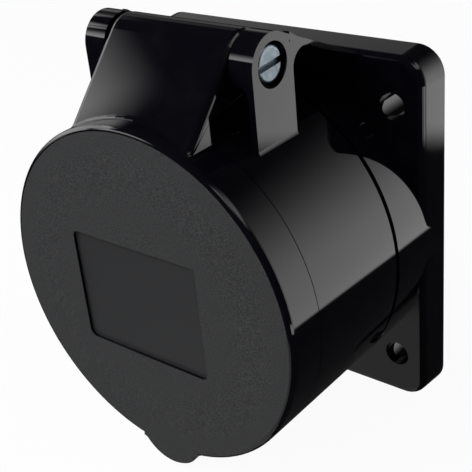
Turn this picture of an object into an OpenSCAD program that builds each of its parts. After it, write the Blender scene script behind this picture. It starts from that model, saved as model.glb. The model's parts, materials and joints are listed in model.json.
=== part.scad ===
// Panel-mounted industrial socket with a spring-closed hinged lid, five contacts, 16 A.
// Every piece is drawn lying on the panel: x across, y up the panel, z forward out of it.
// upright() then stands it up, so that the lid faces -Y and the panel lies on the XZ plane.

/* [Plug] */
// Outside diameter of the plug's shroud
plug_d = 57; // [50:0.5:60]
// Wall of the plug's shroud
plug_wall = 3.6; // [3:0.1:4.2]
// Room between the shroud and the socket, on each side
plug_room = 0.7; // [0.5:0.1:1]
// Diameter of a phase or neutral pin
pin_d = 5; // [4:0.1:6]
// Diameter of the earth pin
earth_pin_d = 6; // [5:0.1:7]
// Diameter of the circle that the pins stand on
pin_circle_d = 36.4; // [32:0.2:40]
// Width of the keyway
key_w = 6.4; // [5:0.2:8]
// Depth of the keyway in the sleeve
key_depth = 2.4; // [2:0.1:3]

/* [Barrel] */
// Distance from the panel to the lid's rear edge
shoulder_z = 46.2; // [38:0.2:56]
// Length of the neck that the lid covers
neck_l = 4.8; // [4:0.1:6]
// Thickness of the outer wall
barrel_wall = 2.6; // [2:0.1:3.2]
// Thickness of the inner sleeve
sleeve_wall = 3; // [2.4:0.1:3.6]
// Gap between the outer wall and the sleeve
hollow_w = 2.5; // [2:0.1:3.5]
// Thickness of the ribs in that gap
rib_t = 1.8; // [1.2:0.1:2.4]
// Distance from the panel to the decorative groove
groove_z = 18.9; // [14:0.1:30]
// Width of the groove
groove_w = 1.2; // [0.8:0.1:2]
// Depth of the groove
groove_depth = 0.9; // [0.5:0.1:1.4]

/* [Flange] */
// Width of the flange
flange_w = 75; // [75:0.5:92]
// Height of the flange
flange_h = 82; // [74:0.5:100]
// Thickness of the flange
flange_t = 8; // [6:0.5:10]
// Radius of the flange's corners
corner_r = 6; // [4:0.5:8]
// Rounding of the flange's front edge
flange_edge_r = 1.6; // [1:0.1:2.5]
// How much narrower the flange is at its front, on each side
flange_draft = 0.4; // [0.2:0.1:0.6]
// Spacing of the fixing holes across
hole_spacing_x = 60; // [56:0.5:76]
// Spacing of the fixing holes up and down
hole_spacing_z = 60; // [58:0.5:82]
// Diameter of the fixing holes
hole_d = 5.8; // [4.5:0.1:6.5]
// Width of the rim round the gasket
gasket_rim = 2; // [1.5:0.1:2.5]
// Thickness of the flange gasket
gasket_t = 1.5; // [1:0.1:2]

/* [Hinge] */
// Height of the hinge axis over the barrel's axis
hinge_y = 46; // [45:0.2:52]
// Distance from the barrel's shoulder back to the hinge axis
hinge_back = 11.6; // [9.2:0.2:13.2]
// Radius of the hinge barrel and of the ears' tops
ear_r = 6.1; // [5.4:0.1:6.6]
// Distance between the outer faces of the ears
ear_span = 42.8; // [38:0.2:46]
// Length of the boss on each ear
boss_l = 5.4; // [4.8:0.1:6]
// Thickness of the ears below the bosses
ear_wall = 1.4; // [1.2:0.1:2]
// Thickness of the sloping roof behind the hinge
roof_t = 1; // [0.8:0.1:1.6]
// Rounding of the window beside each ear
window_r = 3.6; // [2:0.1:4.5]
// Rounding where the ears stand on the barrel
ear_fillet_r = 1.6; // [1:0.1:2]
// Diameter of the hinge screw
pin_screw_d = 4; // [3:0.1:4.4]
// Diameter of the hinge screw's head
pin_head_d = 7.7; // [7:0.1:8.2]
// Height of the hinge screw's head
pin_head_h = 2.6; // [2:0.1:2.8]
// Diameter of the counterbore round that head
pin_counterbore_d = 8.8; // [8.6:0.1:9.4]
// Width of a hexagon nut across its flats
nut_af = 7; // [5.5:0.1:7.4]
// Thickness of that nut
nut_t = 3; // [2:0.1:3.2]
// Wire diameter of the torsion spring
wire_d = 1.1; // [0.8:0.1:1.3]
// Number of turns of the torsion spring
spring_turns = 9; // [6:1:11]
// Length of the coiled part of the spring
spring_l = 14; // [12:0.5:16]

/* [Lid] */
// Depth of the lid's skirt, from its rear edge to the face's edge
lid_depth = 8.8; // [8.5:0.1:12]
// Thickness of the lid's skirt
skirt_wall = 2.1; // [1.8:0.1:2.2]
// Thickness of the lid's face
face_t = 2.2; // [1.8:0.1:3]
// Rounding of the lid's front edge
lid_edge_r = 1.2; // [0.8:0.1:1.6]
// Height of the dome of the lid's face
dome_h = 0.4; // [0:0.1:0.8]
// Width of the hinge arm
arm_w = 31.2; // [26:0.2:31.2]
// Wall thickness of the hinge arm
arm_wall = 2; // [1.6:0.1:2.4]
// Slope of the arm's flat front
arm_slope = 48; // [44:0.5:52]
// Fillet at the foot of the arm's front
arm_foot_r = 2; // [1:0.1:3]
// Rounding of the arm's long edges
arm_edge_r = 1.4; // [1:0.1:1.8]
// Width of the label recess
label_w = 33.2; // [24:0.2:40]
// Height of the label recess
label_h = 25.7; // [18:0.1:30]
// Depth of the label recess at the lid's middle
label_depth = 0.8; // [0.4:0.1:1.2]
// Radius of the label recess's corners
label_r = 1.6; // [1:0.1:3]
// Sideways place of the label recess
label_x = -1.2; // [-4:0.1:4]
// Height of the label recess's middle over the barrel's axis
label_y = -1; // [-5:0.1:5]
// Radius of the finger tab at the bottom of the lid
tab_r = 8.2; // [6:0.1:10]
// How far the finger tab reaches past the lid's edge
tab_reach = 3.8; // [2:0.1:5]
// Sideways place of the finger tab
tab_x = 1.2; // [-3:0.1:3]
// Thickness of the finger tab
tab_t = 3; // [2:0.1:5]

/* [Contacts] */
// Distance from the panel to the front of the contact carrier
core_front_z = 47; // [39:0.2:57]
// Thickness of the carrier over the ends of the contacts
core_cap_t = 4; // [3:0.2:6]
// Thickness of the carrier's disc
disc_t = 3.2; // [2.6:0.1:4]
// Distance from the panel to the front of that disc
seat_z = 11; // [10:0.1:13]
// Wall of a contact sleeve
contact_wall = 1.4; // [1:0.1:1.6]
// Depth of the bore for a pin
contact_bore_l = 23; // [18:0.5:26]
// Width of the slots in a contact sleeve
slot_w = 0.7; // [0.5:0.1:0.9]
// Length of those slots
slot_l = 13; // [9:0.5:16]
// Thickness of the steel spring round each contact sleeve
ring_t = 0.5; // [0.4:0.1:0.6]
// Width of that spring
ring_w = 5; // [4:0.5:7]
// Radius of a terminal
terminal_r = 5.1; // [4.6:0.1:5.6]
// How far the terminals reach behind the panel
terminal_reach = 12; // [10:0.5:16]
// Diameter of the hole for a wire
wire_hole_d = 4.2; // [3.4:0.1:5]
// Depth of the hole for a wire
wire_hole_l = 11; // [9:0.5:13]
// Radius of the terminal carrier
terminal_carrier_r = 25.6; // [24:0.1:28]
// How far the terminal carrier reaches behind the panel
terminal_carrier_reach = 14; // [12:0.5:20]

/* [Hidden] */
$fn = 72;
eps = 0.02;
inner_fn = 36;                                   // facets of the carriers' inner bores
sink = 0.06;                                     // fillets end this far inside what they run into

shell = "#17181c";
rubber = "#2c2d30";
insulator = "#33353a";
steel = "#b9bec4";
brass = "#c9a14a";

fit_gap = 0.3;                                   // between moving or loosely seated pieces
shaft_gap = 0.05;                                // between the hinge screw and what turns on it
socket_r = plug_d / 2 + plug_room;               // inside of the sleeve
core_r = plug_d / 2 - plug_wall - plug_room;     // outside of the contact core
sleeve_r = socket_r + sleeve_wall;
barrel_r = sleeve_r + hollow_w + barrel_wall;
hinge_z = shoulder_z - hinge_back;               // the hinge axis, from the panel
neck_front_z = shoulder_z + neck_l;
lid_rear_z = shoulder_z + 0.2;
lid_face_z = lid_rear_z + lid_depth;             // the edge of the lid's face
lid_inner_z = lid_face_z - face_t;
skirt_r = barrel_r - skirt_wall;
neck_r = skirt_r - fit_gap;
neck_lead = 1.2;                                 // the neck narrows so that the lid can swing off it
neck_front_r = neck_r - neck_lead;
seat_r = socket_r + 0.8;                         // the wider rear part of the sleeve
seat_gap = 0.15;
disc_r = seat_r - seat_gap;
web_t = 1.6;                                     // closes the hollow behind the shoulder
boss_x = ear_span / 2 - boss_l;                  // inner faces of the bosses
pad_r = 4.6;                                     // solid pads round the fixing holes, beside the gasket
lug_count = 4;
lug_circle_r = sleeve_r - 0.6;
lug_r = 3.6;
lug_boss_r = 2.6;
lug_boss_l = 16;
carrier_screw_r = 1.5;
carrier_head_r = 2.8;
carrier_head_h = 2;
back_z = seat_z - disc_t;                        // where the two carriers meet
contact_mouth_z = core_front_z - core_cap_t - fit_gap;
wire_end_z = -terminal_reach;
contact_count = 5;
ring_gap = 0.05;
centre_screw_r = 1.75;
centre_head_r = 3.2;
centre_head_h = 2.2;
terminal_screw_r = 1.6;
terminal_screw_l = 7.2;
terminal_screw_z = wire_end_z + 5;
lid_gasket_w = 3.2;
lid_gasket_r = socket_r + 0.9;                   // its inner radius
lid_gasket_z = neck_front_z + fit_gap;
lid_gasket_seat = 0.5;                           // how deep it sits in the lid's face
lid_gasket_t = lid_inner_z + lid_gasket_seat - lid_gasket_z;
nut_gap = 0.2;
coil_r = pin_screw_d / 2 + fit_gap + wire_d / 2; // middle of the spring's wire
coil_gap = 0.5;
rear_leg_l = 14.6;                               // how far the spring's legs reach from the hinge axis
front_leg_l = 9.5;
coil_room = spring_l + 2.4;
bearing_r = 4.4;                                 // outside of the arm's bearings, within its hollow
arm_under_y = barrel_r + 1;
arm_rear_z = lid_rear_z + 0.2;
rest_t = 1.4;
tab_blend_r = 2;
arm_reach = 40;                                  // longer than the arm, for what is cut out of it
leg_room = 12;                                   // the opening for the spring's rear leg reaches this far
leg_room_from = 112;                             // and starts at this angle round the hinge
lug_root = 6;                                    // the lugs run this far into the disc
head_sink = 0.3;                                 // how far the hinge screw's head lies below the ear
slot_deep = 2.4;                                 // twice the depth of its slot
slot_wide = 1.2;
slot_turn = 4;

function pin_angle(i) = -90 - 360 / contact_count * i;   // clockwise as seen from the front
function pin_r(i) = (i == 0 ? earth_pin_d : pin_d) / 2;
function arc(cx, cy, r, from, to, steps) =
    [for (k = [0 : steps]) let (a = from + (to - from) * k / steps) [cx + r * cos(a), cy + r * sin(a)]];

// The roof runs from the flange's top edge and touches the round tops of the ears.
roof_foot = [flange_t - 0.5, flange_h / 2 - 0.7];
roof_dz = hinge_z - roof_foot[0];
roof_dy = hinge_y - roof_foot[1];
roof_slope = atan2(roof_dy, roof_dz) + asin(ear_r / norm([roof_dz, roof_dy]));
roof_n = [-sin(roof_slope), cos(roof_slope)];
roof_top = [hinge_z, hinge_y] + (ear_r - sink / 2) * roof_n;

module upright() rotate([90, 0, 0]) children();

// Draws a side view (forward, up) and gives it a width from x0 to x1.
module across(x0, x1) translate([x1, 0, 0]) rotate([0, -90, 0]) linear_extrude(x1 - x0) children();

module mirrored() {
    children();
    mirror([1, 0, 0]) children();
}

module ring(inner, outer, from, to) translate([0, 0, from]) difference() {
    cylinder(r = outer, h = to - from);
    translate([0, 0, -1]) cylinder(r = inner, h = to - from + 2);
}

module rounded_plate(w, h, r, t) linear_extrude(t) {
    square([w - 2 * r, h], center = true);
    square([w, h - 2 * r], center = true);
    for (sx = [-1, 1], sy = [-1, 1]) translate([sx * (w / 2 - r), sy * (h / 2 - r)]) circle(r);
}

module at_fixing_holes() for (sx = [-1, 1], sy = [-1, 1])
    translate([sx * hole_spacing_x / 2, sy * hole_spacing_z / 2, 0]) children();

// The pads reach out to the flange's corners.
module fixing_pads(grow, from, to) for (sx = [-1, 1], sy = [-1, 1])
    translate([sx * hole_spacing_x / 2, sy * hole_spacing_z / 2, from]) linear_extrude(to - from) {
        r = pad_r + grow;
        corner = flange_w - hole_spacing_x;
        circle(r);
        translate([sx > 0 ? -r : -corner, sy > 0 ? 0 : -corner]) square([corner + r, corner]);
        translate([sx > 0 ? 0 : -corner, sy > 0 ? -r : -corner]) square([corner, corner + r]);
    }

module at_contact(i) rotate([0, 0, pin_angle(i)]) translate([pin_circle_d / 2, 0, 0]) children();

module at_lugs() for (k = [0 : lug_count - 1])
    rotate([0, 0, 45 + 360 / lug_count * k]) translate([lug_circle_r, 0, 0]) children();

// ---- housing ----

// Half of the flange's section: slightly drafted, with a rounded front edge.
module flange_profile(reach) polygon(concat([[0, 0], [reach, 0]],
    arc(reach - flange_draft - flange_edge_r, flange_t - flange_edge_r, flange_edge_r, 0, 90, 8),
    [[0, flange_t]]));

module flange_block() {
    mirrored() rotate([90, 0, 0]) linear_extrude(flange_h - 2 * corner_r, center = true)
        flange_profile(flange_w / 2);
    for (s = [0, 1]) mirror([0, s, 0]) rotate([90, 0, 90])
        linear_extrude(flange_w - 2 * corner_r, center = true) flange_profile(flange_h / 2);
    for (sx = [-1, 1], sy = [-1, 1])
        translate([sx * (flange_w / 2 - corner_r), sy * (flange_h / 2 - corner_r), 0])
            rotate_extrude() flange_profile(corner_r);
}

module ear_post() {
    translate([hinge_z, hinge_y]) circle(ear_r);
    translate([hinge_z - ear_r, 0]) square([2 * ear_r, hinge_y]);
}

// A thin roof slopes from the ears' tops to the flange's top edge.
module roof_side() {
    run = [cos(roof_slope), sin(roof_slope)];
    polygon([roof_foot - 1.5 * run, roof_top, roof_top - roof_t * roof_n,
        roof_foot - 1.5 * run - roof_t * roof_n]);
}

// Fills the window's upper corner, where the post meets the roof.
module window_corner() {
    x = hinge_z - ear_r;
    under = roof_top - roof_t * roof_n;
    c = [x - window_r, under[1] - (under[0] - x + window_r) * tan(roof_slope) - window_r / cos(roof_slope)];
    polygon(concat(arc(c[0], c[1], window_r, 0, 90 + roof_slope, 8),
        [c + (window_r + 0.3) * roof_n, [x + 0.5, under[1]], [x + 0.5, c[1]]]));
}

// Section of a fillet between an upright side at x and the barrel's round.
module side_fillet(x, r) {
    cx = x + r - sink / 2;
    c = [cx, sqrt(pow(barrel_r + r - sink, 2) - cx * cx)];
    low = c * (barrel_r - 1) / (barrel_r + r);
    polygon(concat(arc(c[0], c[1], r, 180, 180 + atan2(c[1], c[0]), 8),
        [low, [x - 0.5, low[1]], [x - 0.5, c[1]]]));
}

module ear() {
    across(ear_span / 2 - ear_wall, ear_span / 2) {
        ear_post();
        window_corner();
    }
    across(boss_x, ear_span / 2) translate([hinge_z, hinge_y]) circle(ear_r);
    // the web under the boss, hollowed towards the lid's arm
    difference() {
        across(boss_x + 1, ear_span / 2) translate([hinge_z, hinge_y - ear_r]) square([ear_r, ear_r]);
        translate([boss_x, hinge_y - ear_r + 0.4, hinge_z - 1])
            cylinder(r = boss_l - ear_wall, h = ear_r + 2);
    }
    translate([0, 0, hinge_z - ear_r]) linear_extrude(2 * ear_r) side_fillet(ear_span / 2, ear_fillet_r);
}

module roof() difference() {
    across(-ear_span / 2, ear_span / 2) roof_side();
    across(-boss_x, boss_x) translate([hinge_z, hinge_y]) circle(ear_r + fit_gap);
}

module hollow() difference() {
    ring(sleeve_r, barrel_r - barrel_wall, -1, shoulder_z - web_t);
    for (a = [0 : 30 : 330]) rotate([0, 0, a]) translate([sleeve_r - 1, -rib_t / 2, -2])
        cube([hollow_w + 2, rib_t, shoulder_z]);
    translate([-key_w / 2 - sleeve_wall, -barrel_r, -2]) cube([key_w + 2 * sleeve_wall, hollow_w + 6, shoulder_z]);
    at_lugs() translate([0, 0, seat_z]) cylinder(r = lug_boss_r, h = lug_boss_l);
}

module lug(r, from, to) {
    translate([0, 0, from]) cylinder(r = r, h = to - from);
    translate([-lug_root, -r, from]) cube([lug_root, 2 * r, to - from]);
}

module housing() color(shell) upright() difference() {
    union() {
        flange_block();
        cylinder(r = barrel_r, h = shoulder_z, $fn = 120);
        translate([0, 0, shoulder_z - 0.5]) cylinder(r = neck_r, h = 0.5 + eps);
        translate([0, 0, shoulder_z]) cylinder(r1 = neck_r, r2 = neck_front_r, h = neck_l);
        mirrored() ear();
        roof();
    }
    hollow();
    // the plug's socket, its keyway and the wider seat behind
    translate([0, 0, seat_z - 1]) cylinder(r = socket_r, h = neck_front_z);
    translate([0, 0, neck_front_z - 0.8]) cylinder(r1 = socket_r, r2 = socket_r + 1, h = 1);
    translate([0, 0, -1]) cylinder(r = seat_r, h = seat_z + 1);
    translate([-key_w / 2, -socket_r - key_depth, seat_z + 1]) cube([key_w, key_depth + 4, neck_front_z]);
    at_lugs() lug(lug_r + fit_gap, -1, seat_z + 0.2);
    at_lugs() cylinder(r = carrier_screw_r + shaft_gap, h = seat_z + lug_boss_l - 2);
    // the groove round the barrel
    ring(barrel_r - groove_depth, barrel_r + 1, groove_z - groove_w / 2, groove_z + groove_w / 2);
    // flange
    difference() {
        translate([0, 0, -1]) rounded_plate(flange_w - 2 * gasket_rim, flange_h - 2 * gasket_rim,
            corner_r - gasket_rim, gasket_t + 1);
        fixing_pads(0, -2, gasket_t + 1);
    }
    at_fixing_holes() translate([0, 0, -1]) cylinder(d = hole_d, h = flange_t + 2);
    // hinge
    across(-ear_span, ear_span) translate([hinge_z, hinge_y]) circle(d = pin_screw_d + 2 * shaft_gap);
    across(ear_span / 2 - pin_head_h - fit_gap, ear_span) translate([hinge_z, hinge_y])
        circle(d = pin_counterbore_d);
    across(-ear_span, -ear_span / 2 + nut_t + fit_gap) translate([hinge_z, hinge_y])
        circle(d = (nut_af + 2 * nut_gap) / cos(30), $fn = 6);
}

module flange_gasket() color(rubber) upright() difference() {
    rounded_plate(flange_w - 2 * gasket_rim - 0.2, flange_h - 2 * gasket_rim - 0.2,
        corner_r - gasket_rim, gasket_t);
    translate([0, 0, -1]) cylinder(r = seat_r + 0.3, h = gasket_t + 2);
    fixing_pads(0.2, -1, gasket_t + 1);
    at_lugs() lug(lug_r + fit_gap, -1, seat_z);
}

// ---- lid ----

module lid_cap() rotate_extrude($fn = 120) {
    face_r = barrel_r - lid_edge_r;
    polygon(concat(
        [[0, lid_inner_z], [skirt_r, lid_inner_z], [skirt_r, lid_rear_z], [barrel_r, lid_rear_z]],
        arc(face_r, lid_face_z - lid_edge_r, lid_edge_r, 0, 90, 8),
        [for (k = [1 : 7]) let (r = face_r * (1 - k / 8)) [r, lid_face_z + dome_h * (1 - pow(r / face_r, 2))]],
        [[0, lid_face_z + dome_h * 63 / 64]]));
}

// Skins a list of rings, each with the same number of points.
module loft(rings) {
    n = len(rings[0]);
    last = len(rings) - 1;
    walls = [for (i = [0 : last - 1], k = [0 : n - 1])
        let (a = i * n + k, b = i * n + (k + 1) % n) [a, b, b + n, a + n]];
    polyhedron([for (r = rings) each r], concat([[for (k = [0 : n - 1]) n - 1 - k]], walls,
        [[for (k = [0 : n - 1]) last * n + k]]), convexity = 8);
}

// Side view of the arm at a distance x from the middle: round the hinge, down the flat front,
// through a fillet onto the lid's rim, and back along the underside. Its long edges are rounded.
function arm_section(x) = let (
    side = max(abs(x) - arm_w / 2 + arm_edge_r, 0),
    r = ear_r - arm_edge_r + sqrt(max(pow(arm_edge_r, 2) - side * side, 0)),
    rim = sqrt(pow(barrel_r, 2) - x * x) - sink,
    front = lid_face_z - lid_edge_r - 0.1,
    start = hinge_z + (r + cos(arm_slope) * (hinge_y - rim)) / sin(arm_slope),
    foot = max(0.2, min(arm_foot_r, (front - start) / tan(arm_slope / 2))),
    cz = start + foot * tan(arm_slope / 2))
    concat(arc(hinge_z, hinge_y, r, 270, 90 - arm_slope, 20),
        arc(cz, rim + foot, foot, 270 - arm_slope, 270, 6),
        [[cz, rim - 1], [arm_rear_z + 1.5, rim - 1], [arm_rear_z, rim + 0.5], [arm_rear_z, arm_under_y]]);

module arm_form() {
    half = arm_w / 2;
    edge = [for (k = [0 : 5]) half - arm_edge_r * (1 - cos(18 * k))];
    xs = concat([for (v = edge) -v], [for (k = [1 : 11]) -edge[5] + 2 * edge[5] * k / 12],
        [for (k = [5 : -1 : 0]) edge[k]]);
    loft([for (x = xs) [for (p = arm_section(x)) [-x, p[1], p[0]]]]);
}

// Everything under the arm's front wall.
module arm_hollow() translate([hinge_z, hinge_y]) rotate(-arm_slope)
    translate([1, -arm_reach]) square([arm_reach, arm_reach + ear_r - arm_wall]);

module arm() difference() {
    arm_form();
    // hollow behind the front wall, with a bearing at each end for the hinge screw
    across(-arm_w / 2 + arm_wall, arm_w / 2 - arm_wall) difference() {
        arm_hollow();
        translate([hinge_z, hinge_y]) circle(bearing_r);
    }
    cylinder(r = skirt_r, h = lid_inner_z);
    // room for the spring, open behind so that its rear leg stays clear as the lid swings
    across(-coil_room / 2, coil_room / 2) {
        arm_hollow();
        translate([hinge_z, hinge_y]) {
            circle(coil_r + wire_d / 2 + coil_gap);
            polygon([[0, 0], leg_room * [cos(leg_room_from), sin(leg_room_from)],
                [-leg_room, leg_room], [-leg_room, -leg_room], [leg_room / 3, -leg_room]]);
        }
    }
}

// The bar inside the arm that the spring pulls on.
module spring_rest() across(spring_l / 2 - 3, arm_w / 2 - arm_wall / 2)
    translate([hinge_z, hinge_y]) rotate(-arm_slope)
        translate([bearing_r + 0.6, -wire_d / 2 - 0.1 - rest_t]) square([3, rest_t]);

// Outline of the finger tab, with a small round where it leaves the rim.
module tab_outline(reach) {
    t = [tab_x, -(barrel_r + reach - tab_r)];
    d = norm(t);
    outer = barrel_r + tab_blend_r;
    along = (outer * outer - pow(tab_r + tab_blend_r, 2) + d * d) / (2 * d);
    aside = sqrt(outer * outer - along * along);
    translate(t) circle(tab_r);
    for (s = [-1, 1]) {
        c = along * t / d + s * aside * [-t[1], t[0]] / d;
        from = atan2(t[1] - c[1], t[0] - c[0]);
        turn = (atan2(-c[1], -c[0]) - from + 540) % 360 - 180;
        polygon(concat(arc(c[0], c[1], tab_blend_r, from, from + turn, 6), [c * 0.9, t]));
    }
}

module tab() difference() {
    union() {
        translate([0, 0, lid_face_z - tab_t]) linear_extrude(tab_t - lid_edge_r / 2) tab_outline(tab_reach);
        translate([0, 0, lid_face_z - lid_edge_r]) linear_extrude(lid_edge_r) tab_outline(tab_reach - 0.5);
    }
    translate([0, 0, lid_rear_z]) cylinder(r = barrel_r - 1, h = lid_depth - 1.2);
}

module lid() color(shell) upright() difference() {
    union() {
        lid_cap();
        arm();
        spring_rest();
        tab();
    }
    translate([label_x, label_y, lid_face_z + dome_h - label_depth]) rounded_plate(label_w, label_h, label_r, 2);
    ring(lid_gasket_r - 0.1, lid_gasket_r + lid_gasket_w + 0.1, 0, lid_gasket_z + lid_gasket_t);
    across(-arm_w, arm_w) translate([hinge_z, hinge_y]) circle(d = pin_screw_d + 2 * shaft_gap);
}

module lid_gasket() color(rubber) upright()
    ring(lid_gasket_r, lid_gasket_r + lid_gasket_w, lid_gasket_z, lid_gasket_z + lid_gasket_t);

// ---- hinge ----

module hinge_screw() color(steel) upright() difference() {
    union() {
        across(-ear_span / 2 + 0.2, ear_span / 2 - pin_head_h) translate([hinge_z, hinge_y])
            circle(d = pin_screw_d);
        across(ear_span / 2 - pin_head_h - head_sink, ear_span / 2 - head_sink) translate([hinge_z, hinge_y])
            circle(d = pin_head_d);
    }
    translate([ear_span / 2, hinge_y, hinge_z]) rotate([slot_turn, 0, 0])
        cube([slot_deep, slot_wide, 4 * ear_r], center = true);
}

module hinge_nut() color(steel) upright() across(-ear_span / 2 + 0.1, -ear_span / 2 + 0.1 + nut_t)
    translate([hinge_z, hinge_y]) difference() {
        circle(d = nut_af / cos(30), $fn = 6);
        circle(d = pin_screw_d + 0.04);
    }

// A wire swept along points: each ring of its surface stands square to the run of the wire.
function unit(v) = v / norm(v);
function wire_ring(p, along, r, sides) =
    let (u = unit(cross(along, [0.03, 0.02, 1])), v = unit(cross(along, u)))
    [for (k = [0 : sides - 1]) let (a = 360 * k / sides) p + r * (cos(a) * u + sin(a) * v)];

module wire(path, r, sides) {
    last = len(path) - 1;
    loft([for (i = [0 : last])
        wire_ring(path[i], unit(path[min(i + 1, last)] - path[max(i - 1, 0)]), r, sides)]);
}

module torsion_spring() color(steel) upright() {
    steps = 16;
    hinge = [hinge_z, hinge_y];
    // the rear leg rests on the barrel and touches the coil from below
    rest = [hinge_z - rear_leg_l, sqrt(pow(barrel_r, 2) - pow(spring_l / 2, 2)) + wire_d / 2 + 0.1];
    v = hinge - rest;
    from = atan2(v[1], v[0]) - asin(coil_r / norm(v)) - 90;
    // the front leg turns outwards and lies along the inside of the arm
    to = -arm_slope + 360 * spring_turns;
    count = ceil((to - 25 - from) / 360 * steps);
    bend = [for (b = [[-12, 0.2], [-3, 0.75], [0, 1.75]]) [to + b[0], coil_r + b[1]]];
    polar = concat([for (k = [0 : count]) [from + (to - 25 - from) * k / count, coil_r]],
        bend, [[to, front_leg_l]]);
    last = len(polar) - 1;
    wire(concat([[-spring_l / 2, rest[1], rest[0]]], [for (k = [0 : last])
        [spring_l * (min(k, count) / count - 0.5), hinge_y + polar[k][1] * sin(polar[k][0]),
            hinge_z + polar[k][1] * cos(polar[k][0])]]), wire_d / 2, 8);
}

// ---- contacts and their carriers ----

module contact_carrier() color(insulator) upright() difference() {
    union() {
        translate([0, 0, back_z]) cylinder(r = core_r, h = core_front_z - back_z);
        translate([0, 0, back_z]) cylinder(r = disc_r, h = disc_t);
        at_lugs() lug(lug_r, back_z, seat_z);
    }
    for (i = [0 : contact_count - 1]) at_contact(i) {
        cylinder(r = pin_r(i) + 0.4, h = core_front_z + 1, $fn = inner_fn);
        translate([0, 0, core_front_z - 0.6])
            cylinder(r1 = pin_r(i) + 0.4, r2 = pin_r(i) + 1.2, h = 0.8, $fn = inner_fn);
        cylinder(r = pin_r(i) + contact_wall + ring_t + ring_gap + 0.25, h = core_front_z - core_cap_t,
            $fn = inner_fn);
        cylinder(r = terminal_r + 0.2, h = seat_z, $fn = inner_fn);
    }
    at_lugs() cylinder(r = carrier_screw_r + 0.2, h = seat_z + 1);
    cylinder(r = centre_screw_r + shaft_gap, h = core_front_z - 12);
    translate([0, 0, core_front_z - 1.2]) cylinder(r = 6, h = 2);
}

module terminal_carrier() color(insulator) upright() difference() {
    translate([0, 0, -terminal_carrier_reach])
        cylinder(r = terminal_carrier_r, h = terminal_carrier_reach + back_z);
    for (i = [0 : contact_count - 1]) at_contact(i) {
        translate([0, 0, wire_end_z - fit_gap]) cylinder(r = terminal_r + 0.2, h = 40);
        translate([0, 0, -terminal_carrier_reach - 1]) cylinder(r = wire_hole_d / 2 + 0.8, h = 40);
        translate([0, 0, terminal_screw_z]) rotate([0, 90, 0]) cylinder(r = 3, h = 20);
    }
    translate([0, 0, -terminal_carrier_reach - 1]) cylinder(r = centre_screw_r + 0.2, h = 60);
    translate([0, 0, -terminal_carrier_reach - 1]) cylinder(r = centre_head_r + 0.3, h = centre_head_h + 2);
}

module screw(shank_r, shank_l, head_r, head_h) difference() {
    union() {
        cylinder(r = shank_r, h = shank_l);
        translate([0, 0, -head_h]) cylinder(r = head_r, h = head_h);
    }
    translate([0, 0, -head_h]) cube([4 * head_r, head_r * 0.3, head_h], center = true);
}

module carrier_screws() color(steel) upright() at_lugs()
    translate([0, 0, back_z]) screw(carrier_screw_r, disc_t + 11, carrier_head_r, carrier_head_h);

module centre_screw() color(steel) upright()
    translate([0, 0, -terminal_carrier_reach + centre_head_h + 1])
        screw(centre_screw_r, terminal_carrier_reach + back_z + 8, centre_head_r, centre_head_h);

module contact(i) color(brass) upright() at_contact(i) difference() {
    union() {
        translate([0, 0, wire_end_z]) cylinder(r = terminal_r, h = seat_z - wire_end_z - fit_gap);
        cylinder(r = pin_r(i) + contact_wall, h = contact_mouth_z);
    }
    translate([0, 0, contact_mouth_z - contact_bore_l]) cylinder(r = pin_r(i), h = contact_bore_l + 1);
    for (a = [0, 90]) rotate([0, 0, a]) translate([-10, -slot_w / 2, contact_mouth_z - slot_l])
        cube([20, slot_w, slot_l + 1]);
    translate([0, 0, wire_end_z - 1]) cylinder(d = wire_hole_d, h = wire_hole_l + 1);
    translate([0, 0, terminal_screw_z]) rotate([0, 90, 0]) cylinder(r = terminal_screw_r + shaft_gap, h = 10);
}

module spring_ring(i) color(steel) upright() at_contact(i) {
    inner = pin_r(i) + contact_wall + ring_gap;
    translate([0, 0, contact_mouth_z - ring_w - 1.5]) difference() {
        ring(inner, inner + ring_t, 0, ring_w);
        rotate([0, 0, 45]) translate([0, -0.8, -1]) cube([20, 1.6, ring_w + 2]);
    }
}

module terminal_screws() color(steel) upright() for (i = [0 : contact_count - 1]) at_contact(i)
    translate([terminal_screw_l, 0, terminal_screw_z]) rotate([0, -90, 0])
        difference() {
            cylinder(r = terminal_screw_r, h = terminal_screw_l - wire_hole_d / 2 - 0.1);
            translate([-2, -0.3, -1]) cube([4, 0.6, 1.8]);
        }

housing();
flange_gasket();
lid();
lid_gasket();
hinge_screw();
hinge_nut();
torsion_spring();
contact_carrier();
terminal_carrier();
carrier_screws();
centre_screw();
contact(0);  // contact_pe
contact(1);  // contact_l1
contact(2);  // contact_l2
contact(3);  // contact_l3
contact(4);  // contact_n
spring_ring(0);  // spring_ring_pe
spring_ring(1);  // spring_ring_l1
spring_ring(2);  // spring_ring_l2
spring_ring(3);  // spring_ring_l3
spring_ring(4);  // spring_ring_n
terminal_screws();
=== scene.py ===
import bpy, bmesh, json, math
from mathutils import Matrix, Vector


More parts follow.
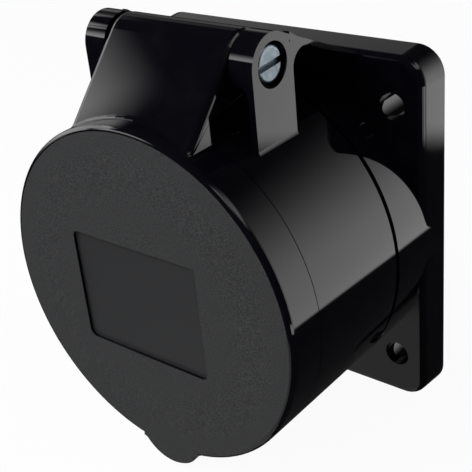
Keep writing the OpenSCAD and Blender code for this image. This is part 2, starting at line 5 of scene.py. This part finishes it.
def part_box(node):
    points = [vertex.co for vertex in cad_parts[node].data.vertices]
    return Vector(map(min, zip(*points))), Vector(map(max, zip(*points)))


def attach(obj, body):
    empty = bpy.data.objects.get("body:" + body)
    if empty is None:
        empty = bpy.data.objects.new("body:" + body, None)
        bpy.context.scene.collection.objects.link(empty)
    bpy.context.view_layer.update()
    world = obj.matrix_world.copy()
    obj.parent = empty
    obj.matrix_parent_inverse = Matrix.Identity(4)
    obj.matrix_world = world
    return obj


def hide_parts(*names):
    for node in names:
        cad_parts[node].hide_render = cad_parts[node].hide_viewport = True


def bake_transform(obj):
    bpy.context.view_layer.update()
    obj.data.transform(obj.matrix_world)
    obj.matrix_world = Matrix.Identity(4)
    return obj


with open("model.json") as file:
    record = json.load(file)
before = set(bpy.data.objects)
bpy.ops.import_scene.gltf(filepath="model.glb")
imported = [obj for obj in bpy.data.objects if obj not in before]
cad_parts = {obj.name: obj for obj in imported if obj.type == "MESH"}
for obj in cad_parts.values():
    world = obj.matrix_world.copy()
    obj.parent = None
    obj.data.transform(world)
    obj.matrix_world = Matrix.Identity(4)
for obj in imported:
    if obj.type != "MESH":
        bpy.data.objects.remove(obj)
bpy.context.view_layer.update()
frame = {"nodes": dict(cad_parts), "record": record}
nodes, record = frame["nodes"], frame["record"]
scene = bpy.context.scene
print("frame loaded,", len(nodes), "nodes")


class Field:
    # One output of a node. Sums and products of fields add the Math nodes that work them out.
    # In node(), i0, i1 and so on are inputs by number, and other names have _ for a space.
    def __init__(self, tree, socket):
        self.tree, self.socket = tree, socket

    def node(self, kind, settings=None, stops=None, out=0, **inputs):
        made = self.tree.nodes.new(kind)
        for name, value in (settings or {}).items():
            setattr(made, name, value)
        if stops:
            ramp = made.color_ramp
            while len(ramp.elements) < len(stops):
                ramp.elements.new(0.5)
            for element, (place, level) in zip(ramp.elements, stops):
                element.position, element.color = place, (level, level, level, 1)
        for name, value in inputs.items():
            byNumber = name[0] == "i" and name[1:].isdigit()
            socket = made.inputs[int(name[1:]) if byNumber else name.replace("_", " ")]
            if isinstance(value, Field):
                self.tree.links.new(value.socket, socket)
            else:
                socket.default_value = value
        return Field(self.tree, made.outputs[out])

    def output(self, name):
        return Field(self.tree, self.socket.node.outputs[name])

    def axes(self):
        split = self.node("ShaderNodeSeparateXYZ", i0=self)
        return [split.output(i) for i in range(3)]

    def math(self, operation, *others):
        return self.node("ShaderNodeMath", {"operation": operation},
                         **{"i%d" % i: value for i, value in enumerate((self,) + others)})

    def __add__(self, other):
        return self.math("ADD", other)

    def __radd__(self, other):
        return self.math("ADD", other)

    def __sub__(self, other):
        return self.math("SUBTRACT", other)

    def __rsub__(self, other):
        return (self * -1.0).math("ADD", other)

    def __mul__(self, other):
        return self.math("MULTIPLY", other)

    def __rmul__(self, other):
        return self.math("MULTIPLY", other)

    def ramp(self, low, high, start=0.0, end=1.0):
        # start below low, end above high, smooth in between
        return self.node("ShaderNodeMapRange", {"interpolation_type": "SMOOTHSTEP"},
                         Value=self, From_Min=low, From_Max=high, To_Min=start, To_Max=end)

    def noise(self, scale, detail=2.0, roughness=0.5):
        return self.node("ShaderNodeTexNoise", Vector=self, Scale=scale, Detail=detail, Roughness=roughness)

    def mix(self, dark, light):
        return self.node("ShaderNodeMix", {"data_type": "RGBA"}, out=2, i0=self, i6=dark, i7=light)

    def bump(self, distance, strength=1.0):
        return self.node("ShaderNodeBump", Height=self, Distance=distance, Strength=strength)


def newMaterial(name):
    material = bpy.data.materials.new(name)
    material.use_nodes = True
    tree = material.node_tree
    tree.nodes.clear()
    return material, Field(tree, tree.nodes.new("ShaderNodeTexCoord").outputs["Object"])


def facingFront(place):
    # 1 where the surface looks along -Y
    return place.output("Normal").axes()[1].ramp(*lidLook["facing"], 1.0, 0.0)


def finishMaterial(material, place, **inputs):
    shader = place.node("ShaderNodeBsdfPrincipled", **inputs)
    out = material.node_tree.nodes.new("ShaderNodeOutputMaterial")
    material.node_tree.links.new(shader.socket, out.inputs["Surface"])
    return material


def between(value, low, high, soft):
    return value.ramp(low - soft, low + soft) * value.ramp(high - soft, high + soft, 1.0, 0.0)


shellLook = {
    "colour": (0.0017, 0.0017, 0.0034, 1),
    "worn": (0.0032, 0.0032, 0.0045, 1),
    "roughness": 0.03,
    "hazeRoughness": 0.02,          # what the haze adds
    "hazeScale": 160.0,
    "swellScale": 28.0,
    "waviness": 0.00002,            # height of the swell
}


def shellParts(place):
    # the slow swell of a moulded wall and a faint haze, shared by the housing and the lid
    swell = place.noise(shellLook["swellScale"], 1.0, 0.4)
    haze = place.noise(shellLook["hazeScale"], 3.0, 0.6)
    colour = haze.ramp(0.45, 0.75).mix(shellLook["colour"], shellLook["worn"])
    smooth = shellLook["roughness"]
    rough = haze.ramp(0.4, 0.8, smooth, smooth + shellLook["hazeRoughness"])
    return swell, colour, rough


def makeHousingLook():
    material, place = newMaterial("glossyHousing")
    swell, colour, rough = shellParts(place)
    height = swell * shellLook["waviness"]
    return finishMaterial(material, place, Base_Color=colour, Roughness=rough,
                          Normal=height.bump(1.0, 1.0))


lidLook = {
    "faceStart": -0.05455,          # the matt parts lie in front of this
    "grain": (0.019, 0.0195, 0.0205, 1),
    "grainLight": (0.046, 0.047, 0.049, 1),
    "recess": (0.0225, 0.023, 0.0245, 1),
    "recessBox": ((-0.0178, 0.0154), (-0.01385, 0.01185)),   # along X and Z
    "recessEdge": 0.00005,
    "faceEdge": 0.00003,
    "facing": (-0.97, -0.9),        # how squarely a matt surface looks forward
    "disc": (0.0361, 0.0363),       # radius where the matt disc ends
    "tab": (-0.0355, -0.0350),      # Z below which the tab is matt too
    "roughness": 0.55,
    "recessRoughness": -0.08,       # what the recess adds
    "grainScale": 4200.0,
    "grainDepth": 0.00005,
}


def makeLidLook():
    material, place = newMaterial("lidPlastic")
    x, y, z = place.axes()
    swell, glossColour, glossRough = shellParts(place)
    (x0, x1), (z0, z1) = lidLook["recessBox"]
    start, soft, blur = lidLook["faceStart"], lidLook["faceEdge"], lidLook["recessEdge"]
    recess = between(x, x0, x1, blur) * between(z, z0, z1, blur)
    radius = (x * x + z * z).math("SQRT")
    discOrTab = radius.ramp(*lidLook["disc"], 1.0, 0.0).math("MAXIMUM", z.ramp(*lidLook["tab"], 1.0, 0.0))
    face = y.ramp(start - soft, start + soft, 1.0, 0.0) * facingFront(place) * discOrTab
    grain = place.noise(lidLook["grainScale"], 1.5, 0.7)
    grainColour = grain.ramp(0.36, 0.66).mix(lidLook["grain"], lidLook["grainLight"])
    colour = face.mix(glossColour, recess.mix(grainColour, lidLook["recess"]))
    faceRough = recess * lidLook["recessRoughness"] + lidLook["roughness"]
    gloss = 1 - face
    rough = glossRough * gloss + faceRough * face
    height = grain * lidLook["grainDepth"] * (1 - recess) * face + swell * shellLook["waviness"] * gloss
    return finishMaterial(material, place, Base_Color=colour, Roughness=rough, Normal=height.bump(1.0, 1.0))


metalLooks = {
    "zincSteel": {"dark": (0.19, 0.23, 0.26, 1), "light": (0.27, 0.32, 0.355, 1), "rough": (0.30, 0.42)},
    "turnedBrass": {"dark": (0.62, 0.42, 0.16, 1), "light": (0.82, 0.62, 0.30, 1), "rough": (0.18, 0.3)},
}
metalGrain = {"cloud": 420.0, "fine": 2600.0, "bump": 0.000001}


def makeMetal(name):
    look = metalLooks[name]
    material, place = newMaterial(name)
    cloud = place.noise(metalGrain["cloud"], 3.0, 0.55)
    fine = place.noise(metalGrain["fine"], 2.0, 0.5)
    colour = cloud.ramp(0.35, 0.7).mix(look["dark"], look["light"])
    rough = fine.ramp(0.3, 0.7, *look["rough"])
    return finishMaterial(material, place, Base_Color=colour, Roughness=rough, Metallic=1.0,
                          Normal=(fine * metalGrain["bump"]).bump(1.0, 1.0))


softLooks = {
    "sealRubber": {"dark": (0.012, 0.012, 0.012, 1), "light": (0.028, 0.028, 0.029, 1),
                   "rough": (0.6, 0.75), "grain": 900.0, "bump": 0.00003},
    "contactPlastic": {"dark": (0.022, 0.023, 0.025, 1), "light": (0.035, 0.037, 0.04, 1),
                       "rough": (0.35, 0.45), "grain": 2200.0, "bump": 0.000012},
}


def makeSoft(name):
    look = softLooks[name]
    material, place = newMaterial(name)
    grain = place.noise(look["grain"], 3.0, 0.6)
    return finishMaterial(material, place, Base_Color=grain.ramp(0.35, 0.7).mix(look["dark"], look["light"]),
                          Roughness=grain.ramp(0.3, 0.7, *look["rough"]),
                          Normal=(grain * look["bump"]).bump(1.0, 1.0))


lidPlastic = makeLidLook()
looks = {
    "shell": makeHousingLook(),
    "rubber": makeSoft("sealRubber"),
    "insulator": makeSoft("contactPlastic"),
    "steel": makeMetal("zincSteel"),
    "brass": makeMetal("turnedBrass"),
}
for part in record["subparts"]:
    obj = nodes[part["node"]]
    look = lidPlastic if part["node"] == "lid" else looks[part["material_slot"]]
    obj.data.materials.clear()
    obj.data.materials.append(look)
print("materials made")


hingeY, hingeZ = record["behaviour"]["joints"][0]["pos_m"][1:]

# The torsion spring: a coil round the hinge screw whose rear leg stands on the barrel
# and whose front leg lifts with the lid; it is drawn again as one swept wire.
springLook = {
    "wire": 0.00055,                # radius of the wire
    "coil": 0.00285,                # radius of the coil to the middle of the wire
    "half": 0.007,                  # half the length of the coil
    "turns": 9,
    "rearFoot": (-0.020, 0.037287),  # where the rear leg ends, along Y and Z
    "frontAngle": -48,              # the way the front leg points, from -Y upwards
    "frontReach": 0.0095,
    "bendStart": 25,                # degrees before its end where the coil starts to open
    "frontBend": ((12, 0.0002), (3, 0.00075), (0, 0.00175)),   # degrees before the end, how far out
    "stepsPerTurn": 28,
    "sides": 12,
}


def makeSpring():
    coil, half = springLook["coil"], springLook["half"]
    footY, footZ = springLook["rearFoot"]
    run, rise = footY - hingeY, hingeZ - footZ
    start = math.degrees(math.atan2(rise, run) - math.asin(coil / math.hypot(run, rise))) - 90
    end = springLook["frontAngle"] + 360 * springLook["turns"]
    bend = [(end - before, coil + out) for before, out in springLook["frontBend"]]
    bend.append((end, springLook["frontReach"]))
    sweep = end - springLook["bendStart"] - start
    count = math.ceil(sweep / 360 * springLook["stepsPerTurn"])
    polar = [(start + sweep * k / count, coil) for k in range(count + 1)] + bend
    points = [(-half, footY, footZ)]
    for k, (angle, reach) in enumerate(polar):
        a = math.radians(angle)
        along = half * (2 * min(k, count) / count - 1)
        points.append((along, hingeY - reach * math.cos(a), hingeZ + reach * math.sin(a)))
    route = bpy.data.meshes.new("springRoute")
    route.from_pydata(points, [(i, i + 1) for i in range(len(points) - 1)], [])
    obj = bpy.data.objects.new("springRoute", route)
    scene.collection.objects.link(obj)
    wound = applyNodes(obj, wireTree(), {"Wire radius": springLook["wire"], "Sides": springLook["sides"],
                                         "Material": looks["steel"]}, "torsionSpring")
    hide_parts("torsion_spring")
    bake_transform(wound)
    return wound


def wireTree():
    # sweeps a round wire along a line of edges
    tree = bpy.data.node_groups.new("wireAlongRoute", "GeometryNodeTree")
    face = tree.interface
    face.new_socket("Geometry", in_out="INPUT", socket_type="NodeSocketGeometry")
    face.new_socket("Wire radius", in_out="INPUT", socket_type="NodeSocketFloat")
    face.new_socket("Sides", in_out="INPUT", socket_type="NodeSocketInt")
    face.new_socket("Material", in_out="INPUT", socket_type="NodeSocketMaterial")
    face.new_socket("Geometry", in_out="OUTPUT", socket_type="NodeSocketGeometry")
    entry, leave = tree.nodes.new("NodeGroupInput"), tree.nodes.new("NodeGroupOutput")
    curve = tree.nodes.new("GeometryNodeMeshToCurve")
    circle = tree.nodes.new("GeometryNodeCurvePrimitiveCircle")
    sweep = tree.nodes.new("GeometryNodeCurveToMesh")
    sweep.inputs["Fill Caps"].default_value = True
    smooth = tree.nodes.new("GeometryNodeSetShadeSmooth")
    finish = tree.nodes.new("GeometryNodeSetMaterial")
    real = tree.nodes.new("GeometryNodeRealizeInstances")
    link = tree.links.new
    link(entry.outputs["Geometry"], curve.inputs["Mesh"])
    link(entry.outputs["Sides"], circle.inputs["Resolution"])
    link(entry.outputs["Wire radius"], circle.inputs["Radius"])
    link(curve.outputs["Curve"], sweep.inputs["Curve"])
    link(circle.outputs["Curve"], sweep.inputs["Profile Curve"])
    link(sweep.outputs["Mesh"], smooth.inputs["Geometry"])
    link(smooth.outputs["Geometry"], real.inputs["Geometry"])
    link(real.outputs["Geometry"], finish.inputs["Geometry"])
    link(entry.outputs["Material"], finish.inputs["Material"])
    link(finish.outputs["Geometry"], leave.inputs["Geometry"])
    return tree


def applyNodes(obj, tree, values, name):
    # runs a node tree on an object and keeps the result as a plain mesh
    modifier = obj.modifiers.new("nodes", "NODES")
    modifier.node_group = tree
    for item in tree.interface.items_tree:
        if item.in_out == "INPUT" and item.name in values:
            modifier[item.identifier] = values[item.name]
    result = bpy.data.meshes.new_from_object(obj.evaluated_get(bpy.context.evaluated_depsgraph_get()))
    bpy.data.objects.remove(obj)
    made = bpy.data.objects.new(name, result)
    result.name = name
    scene.collection.objects.link(made)
    return made


# The hinge screw's head is turned with a rounded rim and a milled slot.
hingeScrewLook = {
    "headRadius": 0.00372,
    "shankRadius": 0.00195,
    "point": (0.0004, 0.85),        # length of the shank's point, and how far it narrows
    "headBase": 0.0185,             # X of the head's seat
    "slotFloor": 0.0197,
    "headTop": 0.02085,             # a little below the ear's face
    "rimRound": 0.0007,
    "slotHalf": 0.00066,
    "slotTilt": 4,
    "sunk": 0.0001,                 # how far each half of the head runs into its base
    "inset": 0.00001,               # and how far inside the base's rim
    "segments": 72,
    "rimSteps": 5,
}


def makeHingeScrew():
    look = hingeScrewLook
    tilt = math.radians(look["slotTilt"])
    along = Vector((0, math.cos(tilt), math.sin(tilt)))
    across = Vector((0, -math.sin(tilt), math.cos(tilt)))
    mesh = bmesh.new()

    def stack(layers):
        # skins layers of points, each (x, list of (u, w)), into one closed shell
        rings = [[mesh.verts.new(Vector((x, hingeY, hingeZ)) + u * along + w * across)
                  for u, w in outline] for x, outline in layers]
        for low, high in zip(rings, rings[1:]):
            for i in range(len(low)):
                j = (i + 1) % len(low)
                mesh.faces.new((low[i], low[j], high[j], high[i]))
        mesh.faces.new(rings[0][::-1])
        mesh.faces.new(rings[-1])

    def circle(radius):
        angles = [2 * math.pi * i / look["segments"] for i in range(look["segments"])]
        return [(radius * math.cos(a), radius * math.sin(a)) for a in angles]

    def half(radius, side):
        first = math.asin(look["slotHalf"] / radius)
        n = look["segments"] // 2
        angles = [first + (math.pi - 2 * first) * i / n for i in range(n + 1)]
        return [(side * radius * math.cos(a), side * radius * math.sin(a)) for a in angles]

    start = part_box("hinge_screw")[0][0]
    pointLength, narrowing = look["point"]
    shank, head, base, floor = look["shankRadius"], look["headRadius"], look["headBase"], look["slotFloor"]
    stack([(start, circle(shank * narrowing)), (start + pointLength, circle(shank)), (base, circle(shank)),
           (base, circle(head)), (floor, circle(head))])
    rim, top, steps = look["rimRound"], look["headTop"], look["rimSteps"]
    rounding = [(top - rim * (1 - math.sin(a)), head - rim * (1 - math.cos(a)))
                for a in (math.radians(90 / steps * k) for k in range(steps + 1))]
    for side in (1, -1):
        stack([(floor - look["sunk"], half(head - look["inset"], side))]
              + [(x, half(r, side)) for x, r in rounding])
    bmesh.ops.recalc_face_normals(mesh, faces=mesh.faces)
    data = bpy.data.meshes.new("hingeScrew")
    mesh.to_mesh(data)
    mesh.free()
    data.materials.append(looks["steel"])
    screw = bpy.data.objects.new("hingeScrew", data)
    scene.collection.objects.link(screw)
    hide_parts("hinge_screw")
    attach(screw, "socket_body")
    return screw


makeSpring()
makeHingeScrew()
print("torsion spring wound, hinge screw turned")


# The camera stands at the right, a little above, and looks down and back at the socket.
cameraLook = {
    "place": (0.13107, -0.17356, 0.10465),
    "turn": 41.46,
    "tilt": 27.69,
    "roll": -5.90,
    "lens": 77.29,
    "sensor": 36,
    "nearest": 0.005,               # nothing closer than this is drawn
}


def makeCamera():
    turn, tilt, roll = (math.radians(cameraLook[k]) for k in ("turn", "tilt", "roll"))
    back = Vector((math.sin(turn) * math.cos(tilt), -math.cos(turn) * math.cos(tilt), math.sin(tilt)))
    right = Vector((math.cos(turn), math.sin(turn), 0))
    up = back.cross(right)
    sideways = math.cos(roll) * right + math.sin(roll) * up
    upwards = -math.sin(roll) * right + math.cos(roll) * up
    camera = bpy.data.objects.new("camera", bpy.data.cameras.new("camera"))
    camera.data.lens, camera.data.sensor_width = cameraLook["lens"], cameraLook["sensor"]
    camera.data.clip_start = cameraLook["nearest"]
    scene.collection.objects.link(camera)
    facing = Matrix((sideways, upwards, back)).transposed().to_4x4()
    camera.matrix_world = Matrix.Translation(cameraLook["place"]) @ facing
    scene.camera = camera


# The studio: dark walls with soft light panels. Each panel is a patch of directions:
# azimuth (0 in front, 90 at the right), elevation, and how soft its four edges are, in degrees.
studioLook = {
    "walls": 0.02,
    "panels": [
        {"level": 1.8, "azimuth": (117, 168), "elevation": (-22.8, 18.5), "soft": (17, 10, 0.9, 24)},
        {"level": 2.8, "azimuth": (-102, -60), "elevation": (1, 37), "soft": (24, 1.5, 9, 3)},
        {"level": 1.5, "azimuth": (25, 140), "elevation": (42, 59), "soft": (2, 9, 6, 10)},
        {"level": 0.5, "azimuth": (-172, -103), "elevation": (13, 23), "soft": (8, 7, 9, 9)},
        {"level": 0.4, "azimuth": (-66, -1), "elevation": (-86, -32), "soft": (16, 5, 10, 1)},
        {"level": 2.6, "azimuth": (-110, -67), "elevation": (36, 41), "soft": (8, 2, 3, 2)},
        {"level": 3.6, "azimuth": (-56, -34), "elevation": (14, 24), "soft": (6, 4, 1.5, 8)},
        {"level": 2.5, "azimuth": (72, 112), "elevation": (-23, -17.6), "soft": (9, 8, 0.5, 0.8)},
    ],
}


def makeStudio():
    world = bpy.data.worlds.new("studio")
    scene.world = world
    world.use_nodes = True
    tree = world.node_tree
    tree.nodes.clear()
    x, y, z = Field(tree, tree.nodes.new("ShaderNodeTexCoord").outputs["Generated"]).axes()
    azimuth = x.math("ARCTAN2", y * -1.0) * (180 / math.pi)
    elevation = z.math("ARCSINE") * (180 / math.pi)
    light = None
    for panel in studioLook["panels"]:
        (a0, a1), (e0, e1), (sa0, sa1, se0, se1) = panel["azimuth"], panel["elevation"], panel["soft"]
        patch = (azimuth.ramp(a0 - sa0, a0 + sa0) * azimuth.ramp(a1 - sa1, a1 + sa1, 1.0, 0.0)
                 * elevation.ramp(e0 - se0, e0 + se0)
                 * elevation.ramp(e1 - se1, e1 + se1, 1.0, 0.0)) * panel["level"]
        light = patch if light is None else light + patch
    light = light + studioLook["walls"]
    seen = Field(tree, tree.nodes.new("ShaderNodeLightPath").outputs["Is Camera Ray"])
    level = light * (1 - seen) + seen
    background = tree.nodes.new("ShaderNodeBackground")
    background.inputs["Color"].default_value = (1, 1, 1, 1)
    tree.links.new(level.socket, background.inputs["Strength"])
    out = tree.nodes.new("ShaderNodeOutputWorld")
    tree.links.new(background.outputs[0], out.inputs["Surface"])


floorLook = {"height": -0.0416, "size": 3.0, "tone": 0.8, "glow": 0.95}


def makeFloor():
    bpy.ops.mesh.primitive_plane_add(size=floorLook["size"], location=(0, 0, floorLook["height"]))
    floor = bpy.context.object
    floor.name = "floor"
    material, place = newMaterial("paleFloor")
    tree = material.node_tree
    seen = Field(tree, tree.nodes.new("ShaderNodeLightPath").outputs["Is Camera Ray"])
    lit = place.node("ShaderNodeBsdfDiffuse", Color=(floorLook["tone"],) * 3 + (1,))
    glow = place.node("ShaderNodeEmission", Color=(1, 1, 1, 1), Strength=1.0)
    mixed = place.node("ShaderNodeMixShader", Fac=seen * floorLook["glow"], i1=lit, i2=glow)
    out = tree.nodes.new("ShaderNodeOutputMaterial")
    tree.links.new(mixed.socket, out.inputs["Surface"])
    floor.data.materials.append(material)
    floor.visible_glossy = False    # some light panels reach below the horizon


lampLook = {"size": 0.5, "power": 4.2, "place": (-0.2, -0.5, 0.45)}


def makeLamp():
    # hidden from glossy rays, so that it leaves no highlight of its own
    lamp = bpy.data.objects.new("softLamp", bpy.data.lights.new("softLamp", "AREA"))
    lamp.data.size, lamp.data.energy = lampLook["size"], lampLook["power"]
    lamp.location = lampLook["place"]
    lamp.rotation_euler = (-Vector(lampLook["place"])).to_track_quat("-Z", "Y").to_euler()
    lamp.visible_glossy = False
    scene.collection.objects.link(lamp)


makeCamera()
makeStudio()
makeFloor()
makeLamp()
scene.view_settings.view_transform = "Standard"
print("studio and camera set")
